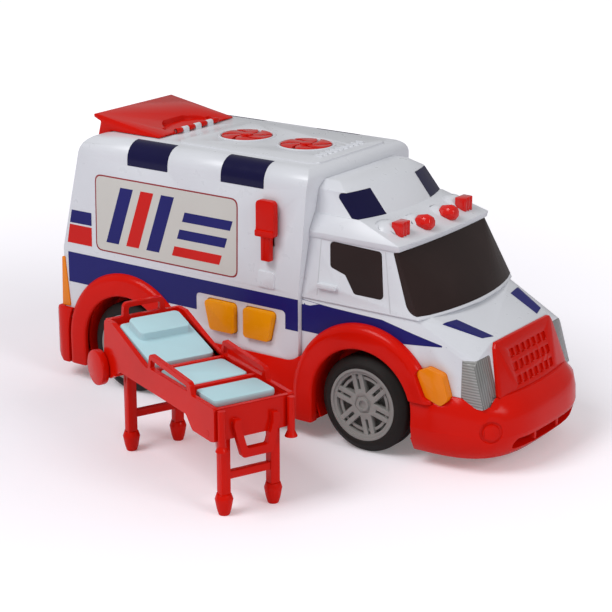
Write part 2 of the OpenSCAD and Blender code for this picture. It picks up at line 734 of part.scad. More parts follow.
// Tailgate: roof wedge, lip and rear door in one moulding
module gate_profile() {
  front = hinge_x;
  low = roof_z + 0.4;
  polygon([[front, low], [front, low + 1], [lip_x + 2, lip_z], [lip_x, lip_z - 0.6], [lip_x + 0.2,
      lip_z - 2.4],
    [gate_neck_x - 7.5, roof_z + 5.4], [gate_neck_x - 9.4, roof_z - 2], [box_rear_x - 0.2, belt_z],
    [box_rear_x - 0.2, floor_z + move_gap], [box_rear_x - 0.2 + door_t, floor_z + move_gap],
    [box_rear_x - 0.2 + door_t, belt_z + 0.4], [gate_neck_x - 9.8 + door_t, roof_z - 4],
    [gate_neck_x, roof_z - 3], [gate_neck_x, low]]);
}
gate_lean = atan2(gate_neck_x - 9.2 - box_rear_x, roof_z - 2 - belt_z);
arch_dip_r = 23;
arch_dip_len = 19;
door_panel_t = 0.8;
module arch_dip() translate([0, 0, roof_z + 1.6]) linear_extrude(20) difference() {
  translate([hinge_x - arch_dip_len, -arch_dip_r]) square([arch_dip_len + 2, 2 * arch_dip_r]);
  translate([hinge_x - arch_dip_len, -arch_dip_r]) difference() {
    square([10, 2 * arch_dip_r]);
    translate([arch_dip_len + 2, arch_dip_r]) circle(r = arch_dip_r);
  }
}
module door_panel() translate([box_rear_x - 0.2, 0, belt_z]) rotate([0, gate_lean, 0])
  along_x(-4, door_panel_t) translate([0, 31]) polygon(rounded(rect(54, 46), 5));
module tailgate() color(red) difference() {
  union() {
    difference() {
      along_y(-gate_half_w, gate_half_w) gate_profile();
      arch_dip();
    }
    for (k = [-3, -1, 1, 3])
      gate_knuckle(k);
  }
  for (k = [-2, 0, 2])
    translate([hinge_x - knuckle_r - move_gap, k * knuckle_w - knuckle_w / 2 - 0.15, roof_z])
      cube([8, knuckle_w + 0.3, 8]);
  axle_bar(hinge_x, hinge_z, hinge_pin_r + run_gap, -30, 30);
  door_panel();
}
module tailgate_pin() color(steel)
  axle_bar(hinge_x, hinge_z, hinge_pin_r, -3.5 * knuckle_w, 3.5 * knuckle_w);

// Side lever and push buttons
module side_lever() color(red) {
  y = box_half_w;
  along_y(-y - 4.6, -y - 0.4) translate([lever_x, lever_z]) {
    translate([0, lever_h / 2]) polygon(rounded(rect(lever_w, lever_h), [1.5, 1.5, 3, 3]));
    translate([-3, -14.5]) square([6, 16]);
  }
  along_y(-y - 5.8, -y - 4.6) translate([lever_x, lever_z + 2]) polygon(rounded(rect(lever_w, 4), 1));
  translate([lever_x - 2.6, -y - 0.5, lever_z]) cube([5.2, shell_wall + box_lean + 0.9, 10]);
  translate([lever_x - 5, -inner_half_w + box_lean, lever_z - 2]) cube([10, 1.6, 14]);
}
module push_button(front) color(amber) {
  along_y(-box_half_w - button_proud, -inner_half_w + 0.2) button_shape(front, 0);
  along_y(-inner_half_w + 0.2, -inner_half_w + 1.6) button_shape(front, 1.2);
}
module switch_board() color(green) {
  translate([button_x - 3, -inner_half_w + 5.2, button_top_z - button_h - 6])
    cube([2 * button_pitch + 4, 1.6, 20]);
  for (i = [0, 1])
    axle_bar(button_x + button_w / 2 + i * button_pitch, button_top_z - button_h / 2, 4,
      -inner_half_w + 4, -inner_half_w + 5.2);
}

// Pieces inside the lower frame
screw_r = 1.5;
screw_len = 3;
module battery_cover() color(red) difference() {
  translate([battery_box_x + 0.2, -battery_box_half_w + 0.2, pan_low_z])
    cube([battery_box_len - 0.4, 2 * battery_box_half_w - 0.4, 2]);
  for (s = [-1, 1])
    translate([battery_box_x + battery_box_len / 2, s * (battery_box_half_w - 4),
        0]) cylinder(r = screw_r, h = 40);
}
module cover_screws() color(steel) for (s = [-1, 1])
  translate([battery_box_x + battery_box_len / 2, s * (battery_box_half_w - 4), pan_low_z])
    cylinder(r = screw_r, h = screw_len);
module batteries() color(grey) for (s = [-1, 1])
  translate([battery_box_x + (battery_box_len - battery_len) / 2, s * (battery_r + 0.3),
      pan_low_z + 2 + battery_r])
    rotate([0, 90, 0]) {
      cylinder(r = battery_r, h = battery_len - 1.6);
      cylinder(r = 2.6, h = battery_len);
    }
module speaker() color(black) translate([speaker_x, 0, pan_low_z + pan_t]) {
  cylinder(r = speaker_r, h = 3);
  translate([0, 0, 3]) cylinder(r1 = speaker_r - 2, r2 = 6, h = 4);
  translate([0, 0, 7]) cylinder(r = 6, h = 4);
}
module circuit_board() color(green)
  translate([battery_box_x - 2, -battery_box_half_w - 2, pan_low_z + 2 * battery_r + 6])
    cube([battery_box_len + 4, 2 * battery_box_half_w + 4, 1.6]);
floor_rear_x = box_rear_x + max(shell_wall, door_t) + move_gap;
module cargo_floor() color(white) difference() {
  translate([floor_rear_x, -inner_half_w + 0.2, floor_z - floor_t])
    cube([box_front_x - shell_wall - 0.2 - floor_rear_x, 2 * inner_half_w - 0.4, floor_t]);
  translate([button_x - 6, -80, 0]) cube([2 * button_pitch + 10, 80 - inner_half_w + 8, 100]);
}

// Wheels
module axle(x) color(steel) axle_bar(x, axle_z, axle_r, -tyre_face_y + 3, tyre_face_y - 3);
tyre_bed_r = rim_r - 1.2;
seat_gap = 0.1;
spoke_turn = 15;
module tyre(x) color(black) translate([x, -tyre_face_y, axle_z]) rotate([-90, 0,
    0]) rotate_extrude($fn = 72)
  polygon(rounded([[rim_r, 0.4], [tyre_r - 5, 0], [tyre_r, 4], [tyre_r, 8.2], [tyre_r - 1, 8.6],
      [tyre_r - 1, 10],
    [tyre_r, 10.4], [tyre_r, tyre_w - 4], [tyre_r - 4, tyre_w], [rim_r, tyre_w], [rim_r, tyre_w - 2],
    [tyre_bed_r, tyre_w - 2], [tyre_bed_r, 2], [rim_r, 2]], [0.5, 2, 3, 0, 0, 0, 0, 3, 2, 0, 0, 0, 0,
        0], 3));
module rim(x) color(grey) translate([x, -tyre_face_y, axle_z]) rotate([-90, 0, 0]) difference() {
  union() {
    difference() {
      translate([0, 0, 1.6]) cylinder(r = tyre_bed_r - seat_gap, h = tyre_w - 3.6);
      translate([0, 0, -1]) cylinder(r = tyre_bed_r - 2.4, h = tyre_w + 1);
    }
    translate([0, 0, 0.6]) difference() {
      cylinder(r = rim_r - seat_gap, h = 1.3);
      translate([0, 0, -1]) cylinder(r = rim_r - 1.8, h = 4);
    }
    translate([0, 0, 9]) cylinder(r = tyre_bed_r - 1, h = 2);
    translate([0, 0, 3]) difference() {
      cylinder(r = 16.6, h = 1.4);
      translate([0, 0, -1]) cylinder(r = 14.8, h = 4);
    }
    translate([0, 0, 2.2]) cylinder(r = 6.4, h = tyre_w - 4);
    difference() {
      translate([0, 0, 1]) cylinder(r = 4, h = 3);
      translate([0, 0, 0]) cylinder(r = 2.4, h = 2.4);
    }
    for (i = [0:spokes - 1])
      rotate([0, 0, i * 360 / spokes + spoke_turn]) difference() {
        translate([5, -3.7, 1.8]) cube([13.9, 7.4, 3.8]);
        translate([9, -0.9, 0]) cube([9.6, 1.8, 8]);
      }
  }
  translate([0, 0, 3]) cylinder(r = axle_r, h = 40);
}

// Stretcher, drawn along its own axis with the foot end at +X
module on_ground() translate([cot_x, cot_y, 0]) rotate([0, 0, cot_turn]) children();
roller_x = bed_head - 4;
roller_z = leg_hinge_z;
bend_x = -16;
function side_plate_edge() = rounded([[bed_foot, deck_z - 15], [bed_foot, deck_z + 3.5], [bend_x,
    deck_z + 3.5],
  [bed_head + 10, head_z], [bed_head, head_z], [bed_head - 2, deck_z - 6], [roller_x - 5,
      roller_z + 2], [roller_x - 4, roller_z - 4.5],
  [bed_head + 6, roller_z - 4.5], [-48, deck_z - 9], [30, deck_z - 9], [37, deck_z - 16],
      [bed_foot - 4, deck_z - 16]],
  [1.5, 2, 24, 4, 3, 2, 3, 3, 2, 4, 3, 3, 2]);
function deck_edge() = [[bed_foot - 1, deck_z - 2.6], [bed_foot - 1, deck_z], [bend_x, deck_z],
    [bed_head + 3, head_z - 4],
  [bed_head + 3, head_z], [bed_head, head_z], [bed_head, head_z - 7], [bend_x - 1, deck_z - 2.6]];
rail_rear = -14;
rail_front = 38;
module rail_edge() difference() {
  polygon(rounded([[rail_front, deck_z], [rail_front - 3, deck_z + 10], [rail_rear + 3, deck_z + 13],
      [rail_rear, deck_z]],
    [0, 3, 3, 0]));
  polygon(rounded([[rail_front - 5, deck_z + 4.4], [rail_front - 6.6, deck_z + 7], [rail_rear + 5,
      deck_z + 9.8],
    [rail_rear + 4, deck_z + 4.4]], 1));
}
module foot_loop() difference() {
  polygon(rounded([[-14, deck_z - 4], [-14, deck_z - 8], [-9, deck_z - 26], [9, deck_z - 26], [14,
      deck_z - 8], [14, deck_z - 4]], 2));
  polygon(rounded([[-9.6, deck_z - 3], [-9.6, deck_z - 9], [-6, deck_z - 21], [6, deck_z - 21], [9.6,
      deck_z - 9], [9.6, deck_z - 3]], 1));
}
module head_bar() difference() {
  polygon(rounded([[-14, head_z - 4], [14, head_z - 4], [13, head_z + 8], [-13, head_z + 8]], [0, 0, 3,
      3]));
  translate([0, head_z + 2.6]) polygon(rounded(rect(20, 5), 1.4));
}
module bed_strap(x) translate([x, 0, deck_z]) rotate([90, 0, 0]) translate([0, 0, -bed_half_w + bed_wall])
  linear_extrude(2 * (bed_half_w - bed_wall)) polygon([[-2.4, -0.5], [2.4, -0.5], [1.6, 3.4], [-1.6, 3.4]]);
module stretcher_bed() color(red) on_ground() difference() {
  union() {
    for (s = [0, 1])
      mirror([0, s, 0]) {
        along_y(-bed_half_w, -bed_half_w + bed_wall) polygon(side_plate_edge());
        along_y(-bed_half_w, -bed_half_w + bed_wall) rail_edge();
        translate([bed_foot + 2, -bed_half_w + 3.4, deck_z - 20]) {
          cylinder(r = 2.1, h = 22.5);
          cylinder(r1 = 3.6, r2 = 2.1, h = 3.4);
        }
      }
    along_y(-bed_half_w + 1, bed_half_w - 1) polygon(deck_edge());
    translate([bed_foot - bed_wall, -bed_half_w + 1, deck_z - 15]) cube([bed_wall, 2 * bed_half_w - 2, 18]);
    along_x(bed_foot - 1, bed_foot + 3.2) foot_loop();
    along_x(bed_head, bed_head + bed_wall) head_bar();
    bed_strap(-11);
    bed_strap(24);
  }
  for (x = [-leg_at, leg_at])
    axle_bar(x, leg_hinge_z, cot_pin_r, -60, 60);
  axle_bar(roller_x, roller_z, cot_pin_r + run_gap, -60, 60);
}
module pad(x0, x1, half_w, h) linear_extrude(h)
  polygon(rounded([[x0, -half_w], [x1, -half_w], [x1, half_w], [x0, half_w]], 3));
pad_half_w = bed_half_w - bed_wall - 1.6;
back_rise = atan((head_z - 4 - deck_z) / (bend_x - bed_head - 3));
module head_pad() color(pad_blue) on_ground() translate([bend_x, 0, deck_z]) rotate([0, back_rise, 0]) {
  pad(-44, -1.4, pad_half_w, 4);
  translate([0, 0, 3]) pad(-41, -24, pad_half_w - 4, 6);
}
module middle_pad() color(pad_blue) on_ground() translate([0, 0, deck_z]) pad(-8, 21, pad_half_w, 3.4);
module foot_pad() color(pad_blue) on_ground() translate([0, 0, deck_z]) pad(30, 52, pad_half_w - 1, 4);
module leg_frame(s) translate([s * leg_at, 0, 0]) difference() {
  union() {
    for (y = [-leg_half, leg_half])
      translate([0, y, 0]) {
        translate([-leg_t / 2, -leg_t / 2, 6]) cube([leg_t, leg_t, leg_hinge_z - 6]);
        axle_bar(0, leg_hinge_z, leg_t / 2, -leg_t / 2, leg_t / 2);
        translate([0, 0, 9]) cylinder(r1 = 5, r2 = 4, h = 3);
        translate([0, 0, 3.4]) cylinder(r1 = 4, r2 = 5, h = 5.6);
        cylinder(r1 = 3, r2 = 4, h = 3.4);
      }
    translate([-1.8, -leg_half, 20]) cube([3.6, 2 * leg_half, 4.4]);
  }
  axle_bar(0, leg_hinge_z, cot_pin_r + run_gap, -60, 60);
}
module head_legs() color(red) on_ground() leg_frame(-1);
module foot_legs() color(red) on_ground() leg_frame(1);
module leg_pin(s) color(red) on_ground() axle_bar(s * leg_at, leg_hinge_z, cot_pin_r, -bed_half_w,
    bed_half_w);
module head_rollers() color(red) on_ground() {
  out = bed_half_w + move_gap;
  axle_bar(roller_x, roller_z, cot_pin_r, -out - 1, out + 1);
  for (y = [-out - roller_w, out])
    axle_bar(roller_x, roller_z, roller_r, y, y + roller_w);
}

cargo_box();
cab_shell();
left_side() side_frame();  // side_frame_left
side_frame();  // side_frame_right
rear_bumper();
chassis();
front_bumper();
grille();
left_side() headlamp();  // headlamp_left
headlamp();  // headlamp_right
left_side() indicator();  // indicator_left
indicator();  // indicator_right
left_side() rear_lamp();  // rear_lamp_left
rear_lamp();  // rear_lamp_right
windscreen();
left_side() door_window();  // door_window_left
door_window();  // door_window_right
left_side() roof_window(rear_window_x);  // roof_window_rear_left
roof_window(rear_window_x);  // roof_window_rear_right
left_side() roof_window(front_window_x);  // roof_window_front_left
roof_window(front_window_x);  // roof_window_front_right
left_side() forehead_window();  // forehead_window_left
forehead_window();  // forehead_window_right
left_side() beacon_outer();  // beacon_outer_left
left_side() beacon_inner();  // beacon_inner_left
beacon_inner();  // beacon_inner_right
beacon_outer();  // beacon_outer_right
roof_fan(rear_fan_x);  // roof_fan_rear
roof_fan(front_fan_x);  // roof_fan_front
tailgate();
tailgate_pin();
side_lever();
push_button(false);  // siren_button
push_button(true);  // light_button
switch_board();
battery_cover();
batteries();
cover_screws();
speaker();
circuit_board();
cargo_floor();
axle(front_axle_x);  // front_axle
axle(rear_axle_x);  // rear_axle
left_side() rim(front_axle_x);  // rim_front_left
rim(front_axle_x);  // rim_front_right
left_side() rim(rear_axle_x);  // rim_rear_left
rim(rear_axle_x);  // rim_rear_right
left_side() tyre(front_axle_x);  // tyre_front_left
tyre(front_axle_x);  // tyre_front_right
left_side() tyre(rear_axle_x);  // tyre_rear_left
tyre(rear_axle_x);  // tyre_rear_right
stretcher_bed();
head_pad();
middle_pad();
foot_pad();
head_legs();
foot_legs();
leg_pin(-1);  // head_leg_pin
leg_pin(1);  // foot_leg_pin
head_rollers();
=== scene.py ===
# %% [markdown]
# # A toy ambulance with a stretcher
# The solids of this toy come ready made, in metres, with the ground at z = 0 and the car's front along +X.
# This lesson dresses them: moulded edges, coloured plastics, printed stickers, soft light and a camera.

# %% Load the solids
import json
import math
import bpy
from mathutils import Matrix, Vector


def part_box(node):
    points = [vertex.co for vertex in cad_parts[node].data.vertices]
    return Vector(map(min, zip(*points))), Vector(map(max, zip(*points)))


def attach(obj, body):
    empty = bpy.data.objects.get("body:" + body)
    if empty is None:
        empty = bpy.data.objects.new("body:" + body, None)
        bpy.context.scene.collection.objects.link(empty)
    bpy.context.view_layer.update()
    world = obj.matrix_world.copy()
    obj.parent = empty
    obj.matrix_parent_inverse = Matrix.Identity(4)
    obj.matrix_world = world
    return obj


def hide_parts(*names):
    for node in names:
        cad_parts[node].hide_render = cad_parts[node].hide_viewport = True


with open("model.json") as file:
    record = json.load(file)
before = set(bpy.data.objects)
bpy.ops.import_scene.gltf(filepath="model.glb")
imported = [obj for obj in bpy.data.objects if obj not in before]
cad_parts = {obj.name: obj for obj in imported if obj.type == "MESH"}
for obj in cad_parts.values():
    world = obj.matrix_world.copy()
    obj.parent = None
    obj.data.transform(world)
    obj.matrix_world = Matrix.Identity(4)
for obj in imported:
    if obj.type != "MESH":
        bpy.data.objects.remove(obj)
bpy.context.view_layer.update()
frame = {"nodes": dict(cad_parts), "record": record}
nodes = frame["nodes"]
record = frame["record"]
slot_of = {part["node"]: part["material_slot"] for part in record["subparts"]}
body_of = {n: body for body, members in record["behaviour"]["bodies"].items() for n in members}

# %% [markdown]
# ## Finishes
# The toy is injection moulded plastic. Seen close, such a surface has a faint cloudy tone, a gloss that
# changes a little from place to place, and a fine grain from the tool. A flat colour would look like paint
# on a screen, so each finish mixes two near tones with a large noise, varies the roughness with a middle
# one, and raises a fine one as bump. All of them read Object coordinates, so nothing slides on a piece.
# The shine is kept low on red and amber, because white reflections would turn them pink. A painted picture
# could carry the tones too, but it needs an unwrapped mesh and blurs close up.

# %% Helpers for node finishes
def new_finish(name):
    finish = bpy.data.materials.new(name)
    finish.use_nodes = True
    tree = finish.node_tree
    place = tree.nodes.new("ShaderNodeTexCoord")
    return finish, tree, tree.nodes["Principled BSDF"], place.outputs["Object"]


def cloud(tree, where, scale, detail=3.0):
    noise = tree.nodes.new("ShaderNodeTexNoise")
    noise.inputs["Scale"].default_value = scale
    noise.inputs["Detail"].default_value = detail
    tree.links.new(where, noise.inputs["Vector"])
    return noise.outputs[0]


def two_tones(tree, value, dark, light, low=0.3, high=0.7):
    ramp = tree.nodes.new("ShaderNodeValToRGB")
    stops = ramp.color_ramp.elements
    stops[0].position, stops[1].position = low, high
    stops[0].color = (*dark, 1)
    stops[1].color = (*light, 1)
    tree.links.new(value, ramp.inputs[0])
    return ramp.outputs["Color"]


def spread(tree, value, low, high, start=0.0, end=1.0):
    node = tree.nodes.new("ShaderNodeMapRange")
    node.inputs["From Min"].default_value = start
    node.inputs["From Max"].default_value = end
    node.inputs["To Min"].default_value = low
    node.inputs["To Max"].default_value = high
    tree.links.new(value, node.inputs["Value"])
    return node.outputs["Result"]


def raised(tree, shader, height, strength, distance):
    bump = tree.nodes.new("ShaderNodeBump")
    bump.inputs["Strength"].default_value = strength
    bump.inputs["Distance"].default_value = distance
    tree.links.new(height, bump.inputs["Height"])
    tree.links.new(bump.outputs["Normal"], shader.inputs["Normal"])


def bands(tree, where, direction, period):
    wave = tree.nodes.new("ShaderNodeTexWave")
    wave.bands_direction = direction
    wave.inputs["Scale"].default_value = math.pi / (10 * period)
    wave.inputs["Distortion"].default_value = 0.0
    tree.links.new(where, wave.inputs["Vector"])
    return wave.outputs[0]


print("helpers ready")

# %% One function for all moulded plastics
tone_scale, gloss_scale = 18, 140
grain_height = 0.00006
plastic_ior = 1.49


def plastic(name, colour, rough, swing=0.05, grain=1500, strength=0.1, coat=0.0, shine=0.35):
    finish, tree, shader, where = new_finish(name)
    dark = [c * (1 - swing) for c in colour]
    light = [min(1.0, c * (1 + swing)) for c in colour]
    tone = two_tones(tree, cloud(tree, where, tone_scale), dark, light)
    gloss = spread(tree, cloud(tree, where, gloss_scale), rough - 0.05, rough + 0.08)
    tree.links.new(tone, shader.inputs["Base Color"])
    tree.links.new(gloss, shader.inputs["Roughness"])
    raised(tree, shader, cloud(tree, where, grain), strength, grain_height)
    shader.inputs["Coat Weight"].default_value = coat
    shader.inputs["IOR"].default_value = plastic_ior
    shader.inputs["Specular IOR Level"].default_value = shine
    return finish


print("plastic ready")

# %% [markdown]
# ## Lamp glass
# A headlamp glass has level flutes on its side and upright ribs on its front. Each of them could be a row of
# bevelled strips, but they are so fine that this would cost thousands of faces for half a pixel. Two wave
# textures give the same relief, and the facing of the surface picks one of them. The same waves also make the
# colour darker in each groove and lighter on each crest: painted shade and painted highlight of the flutes.
# The front faces are painted darker still, as painted shade for the dark inside of the lamp.

# %% A function for lamp glass
front_facing = 0.6
# front_shade darkens the front faces: painted shade for the dark inside of the lamp.
front_shade = (0.7, 0.7, 0.7, 1)
groove_depth = 0.0003


def lens(name, colour, rough, flute, rib):
    finish, tree, shader, where = new_finish(name)
    facing = tree.nodes.new("ShaderNodeTexCoord")
    split = tree.nodes.new("ShaderNodeSeparateXYZ")
    front = tree.nodes.new("ShaderNodeMath")
    front.operation = "GREATER_THAN"
    front.inputs[1].default_value = front_facing
    tree.links.new(facing.outputs["Normal"], split.inputs[0])
    tree.links.new(split.outputs["X"], front.inputs[0])
    # A Mix node keeps its numbers on sockets 2 and 3, and its colours on sockets 6 and 7.
    either = tree.nodes.new("ShaderNodeMix")
    tree.links.new(front.outputs[0], either.inputs[0])
    tree.links.new(bands(tree, where, "Z", flute), either.inputs[2])
    tree.links.new(bands(tree, where, "Y", rib), either.inputs[3])
    relief = either.outputs[0]
    # The dark and light tones follow the waves: painted shade in the grooves, painted highlight on the
    # crests.
    dark = [c * 0.72 for c in colour]
    light = [min(1.0, c * 1.18) for c in colour]
    # Front faces are multiplied by front_shade, as painted shade.
    shade = tree.nodes.new("ShaderNodeMix")
    shade.data_type = "RGBA"
    shade.blend_type = "MULTIPLY"
    shade.inputs[7].default_value = front_shade
    tree.links.new(front.outputs[0], shade.inputs[0])
    tree.links.new(two_tones(tree, relief, dark, light, 0.1, 0.9), shade.inputs[6])
    tree.links.new(shade.outputs[2], shader.inputs["Base Color"])
    gloss = spread(tree, cloud(tree, where, 120), rough, rough + 0.08)
    tree.links.new(gloss, shader.inputs["Roughness"])
    raised(tree, shader, relief, 0.5, groove_depth)
    shader.inputs["Coat Weight"].default_value = 0.4
    shader.inputs["Coat Roughness"].default_value = 0.08
    return finish


print("lamp glass ready")

# %% The finishes of this toy
finishes = {
    "white_shell": plastic("white_shell", (0.68, 0.695, 0.74), 0.28, 0.025, shine=0.5),
    "red_plastic": plastic("red_plastic", (0.62, 0.006, 0.0012), 0.17, 0.07, shine=0.14),
    "lamp_lens": lens("lamp_lens", (0.29, 0.29, 0.28), 0.14, 0.0016, 0.0018),
    "orange_lens": plastic("orange_lens", (0.84, 0.23, 0.004), 0.22, 0.1, coat=0.2, shine=0.2),
    "dark_pane": plastic("dark_pane", (0.026, 0.015, 0.014), 0.16, 0.2, 700, 0.05, 0.0, 0.14),
    "navy_pane": plastic("navy_pane", (0.006, 0.005, 0.042), 0.18, 0.15, 700, 0.08, 0.0, 0.2),
    "red_lens": plastic("red_lens", (0.66, 0.006, 0.003), 0.14, 0.12, 800, 0.1, 0.25, 0.25),
    "amber_plastic": plastic("amber_plastic", (0.83, 0.3, 0.002), 0.25, 0.08, shine=0.18),
    "steel": plastic("steel", (0.45, 0.45, 0.47), 0.3, 0.08),
    "board": plastic("board", (0.03, 0.16, 0.07), 0.5, 0.2),
    "battery_case": plastic("battery_case", (0.12, 0.12, 0.13), 0.35, 0.1),
    "black_plastic": plastic("black_plastic", (0.02, 0.02, 0.02), 0.5, 0.15),
    "rim_grey": plastic("rim_grey", (0.24, 0.235, 0.225), 0.36, 0.1),
    "tyre": plastic("tyre", (0.013, 0.011, 0.01), 0.6, 0.25, 1100, 0.4, shine=0.2),
    "pad_plastic": plastic("pad_plastic", (0.47, 0.69, 0.75), 0.4, 0.04),
}
finishes["steel"].node_tree.nodes["Principled BSDF"].inputs["Metallic"].default_value = 1.0
print("finishes:", len(finishes))

# %% [markdown]
# ## Moulded edges
# No edge of a moulding is sharp: the tool has a small radius everywhere, and that thin line of light is what
# tells plastic from card. The solids have true forms but knife edges. Each visible one is copied, its
# triangles are merged back into faces, and a bevel rounds the edges that turn by more than 35 degrees. A
# subdivision surface would round them too, but it would also melt the flat walls. In a crowded corner the
# bevel can overshoot, so any of its points that lands too far from the solid goes back onto it. Smooth
# shading bends the light a little way into the walls, which suits soft mouldings. The bed's thin flat sides
# would look creased by it, so there weighted normals let the large faces win.

# %% Copy a solid
merge_gap = 2e-6
flat_turn = math.radians(0.6)


def pick(piece):
    bpy.ops.object.select_all(action="DESELECT")
    piece.select_set(True)
    bpy.context.view_layer.objects.active = piece


def merged_copy(node):
    piece = bpy.data.objects.new("moulded_" + node, nodes[node].data.copy())
    bpy.context.scene.collection.objects.link(piece)
    pick(piece)
    bpy.ops.object.mode_set(mode="EDIT")
    bpy.ops.mesh.select_all(action="SELECT")
    bpy.ops.mesh.customdata_custom_splitnormals_clear()
    bpy.ops.mesh.remove_doubles(threshold=merge_gap)
    bpy.ops.mesh.dissolve_limited(angle_limit=flat_turn)
    bpy.ops.object.mode_set(mode="OBJECT")
    return piece


print("copy tools ready")

# %% Round its edges and dress it
sharp_turn = math.radians(35)
smooth_turn = math.radians(38)
overshoot = 1.1
flat_walled = ("stretcher_bed",)


def round_edges(piece, node, radius):
    edge = piece.modifiers.new("edge", "BEVEL")
    edge.width = radius
    edge.segments = 2
    edge.limit_method = "ANGLE"
    edge.angle_limit = sharp_turn
    edge.use_clamp_overlap = False
    edge.miter_outer = "MITER_ARC"
    bpy.ops.object.modifier_apply(modifier=edge.name)
    low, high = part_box(node)
    for vertex in piece.data.vertices:
        found, near, _, _ = nodes[node].closest_point_on_mesh(vertex.co)
        if found and (near - vertex.co).length > overshoot * radius:
            vertex.co = near
    for vertex in piece.data.vertices:
        vertex.co = [min(max(c, a), b) for c, a, b in zip(vertex.co, low, high)]


def moulded(node, radius):
    piece = merged_copy(node)
    if radius:
        round_edges(piece, node, radius)
    bpy.ops.object.shade_smooth_by_angle(angle=smooth_turn)
    if node in flat_walled:
        flat = piece.modifiers.new("flat_walls", "WEIGHTED_NORMAL")
        flat.keep_sharp = True
        bpy.ops.object.modifier_apply(modifier=flat.name)
    piece.data.materials.clear()
    piece.data.materials.append(finishes[slot_of[node]])
    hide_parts(node)
    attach(piece, body_of[node])
    return piece


print("edge tools ready")

# %% Edge radius of each visible solid
edge_radius = {
    "cargo_box": 0.0005, "cab_shell": 0.0004, "side_frame_left": 0.0005, "side_frame_right": 0.0005,
    "rear_bumper": 0.0006, "front_bumper": 0.0004, "grille": 0.0002, "headlamp_left": 0.0003,
    "headlamp_right": 0.0003, "indicator_left": 0.0005, "indicator_right": 0.0005, "rear_lamp_left": 0.0002,
    "rear_lamp_right": 0.0002, "windscreen": 0, "door_window_left": 0, "door_window_right": 0,
    "roof_window_rear_left": 0, "roof_window_rear_right": 0, "roof_window_front_left": 0,
    "roof_window_front_right": 0, "forehead_window_left": 0, "forehead_window_right": 0,
    "beacon_outer_left": 0.0003, "beacon_outer_right": 0.0003, "beacon_inner_left": 0.0003,
    "beacon_inner_right": 0.0003, "roof_fan_rear": 0.0002, "roof_fan_front": 0.0002, "tailgate": 0.0004,
    "side_lever": 0.0003, "siren_button": 0.0007, "light_button": 0.0007, "rim_front_left": 0.0002,
    "rim_front_right": 0.0002, "rim_rear_left": 0.0002, "rim_rear_right": 0.0002, "tyre_front_left": 0,
    "tyre_front_right": 0, "tyre_rear_left": 0, "tyre_rear_right": 0, "stretcher_bed": 0.0003,
    "head_pad": 0.0009, "middle_pad": 0.0009, "foot_pad": 0.0012, "head_legs": 0.0004, "foot_legs": 0.0004,
    "head_rollers": 0.0006,
}
shells = {node: moulded(node, radius) for node, radius in edge_radius.items()}
print("moulded pieces:", len(shells))

# %% [markdown]
# ## Lamp glasses down to the bumper
# A headlamp glass fills the gap between bonnet and bumper. The solid ends a little above the bumper, so the
# low rim of each glass is drawn down along its own corner edge. That keeps both of its faces flat. Scaling
# the glass would do it too, but it would also move the top rim out of its seat.

# %% Draw the lamp glasses down
drop, rim_band = 0.003, 0.0015


def outermost(corners):
    return max(corners, key=lambda v: v.co.x + abs(v.co.y)).co.copy()


for node in ("headlamp_left", "headlamp_right"):
    low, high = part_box(node)
    rim = [v for v in shells[node].data.vertices if v.co.z < low.z + rim_band]
    top = [v for v in shells[node].data.vertices if v.co.z > high.z - rim_band]
    corner_low, corner_high = outermost(rim), outermost(top)
    along = (corner_low - corner_high) / (corner_high.z - corner_low.z)
    for vertex in rim:
        vertex.co += along * drop
    print(node, "rim points", len(rim), "drawn along", tuple(round(c, 3) for c in along))

# %% [markdown]
# ## Pieces that stay as they are
# Axles, pins, boards and battery cells sit inside or show only as a dot. Their solids are right already, so
# they keep their own mesh and only take a finish.

# %% Dress the rest
for node, solid in nodes.items():
    if node not in shells:
        solid.data.materials.clear()
        solid.data.materials.append(finishes[slot_of[node]])
print("plain solids:", len(nodes) - len(shells))

# %% [markdown]
# ## Printed stickers
# The band, the stripes and the side panel are printed film. Film has a crisp outline and follows the wall
# under it. Each sticker starts as a flat outline beside the car, is cut into small fields, is pushed onto
# the wall with Shrinkwrap along one axis, and gets the thickness of film with Solidify. Painting it into the
# wall's own finish would work as well, but its edge would blur when the finish is baked.

# %% Outlines
start_from = {"right": -0.09, "left": 0.09, "top": 0.2}
mm = 0.001


def soft_corners(points, radius, steps=5):
    out = []
    for i, q in enumerate(points):
        p, s = points[i - 1], points[(i + 1) % len(points)]
        q, p, s = Vector(q), Vector(p), Vector(s)
        a, b = (p - q).normalized() * radius, (s - q).normalized() * radius
        for k in range(steps + 1):
            t = k / steps
            out.append(tuple(q + a * (1 - t) ** 2 + b * t ** 2))
    return out


def flat_outline(name, points, face):
    bpy.ops.object.select_all(action="DESELECT")
    bpy.ops.mesh.primitive_circle_add(vertices=len(points), radius=0.01, fill_type="NGON")
    piece = bpy.context.active_object
    piece.name = name
    away = start_from[face]
    for corner, (x, other) in zip(piece.data.vertices, points):
        corner.co = (x * mm, other * mm, away) if face == "top" else (x * mm, away, other * mm)
    return piece


print("outline tools ready")

# %% Small fields, so that the film can bend
def cut_along(axis, low, high, step):
    normal = [0, 0, 0]
    normal[axis] = 1
    for i in range(math.ceil(low / step), math.floor(high / step) + 1):
        at = [0, 0, 0]
        at[axis] = i * step
        bpy.ops.mesh.select_all(action="SELECT")
        bpy.ops.mesh.bisect(plane_co=at, plane_no=normal)


def cut_into_fields(piece, face, step):
    sides = [[v.co[i] for v in piece.data.vertices] for i in range(3)]
    bpy.ops.object.mode_set(mode="EDIT")
    bpy.ops.mesh.select_all(action="SELECT")
    bpy.ops.mesh.quads_convert_to_tris()
    for axis in (0, 1 if face == "top" else 2):
        cut_along(axis, min(sides[axis]), max(sides[axis]), step)
    bpy.ops.object.mode_set(mode="OBJECT")


print("field tools ready")

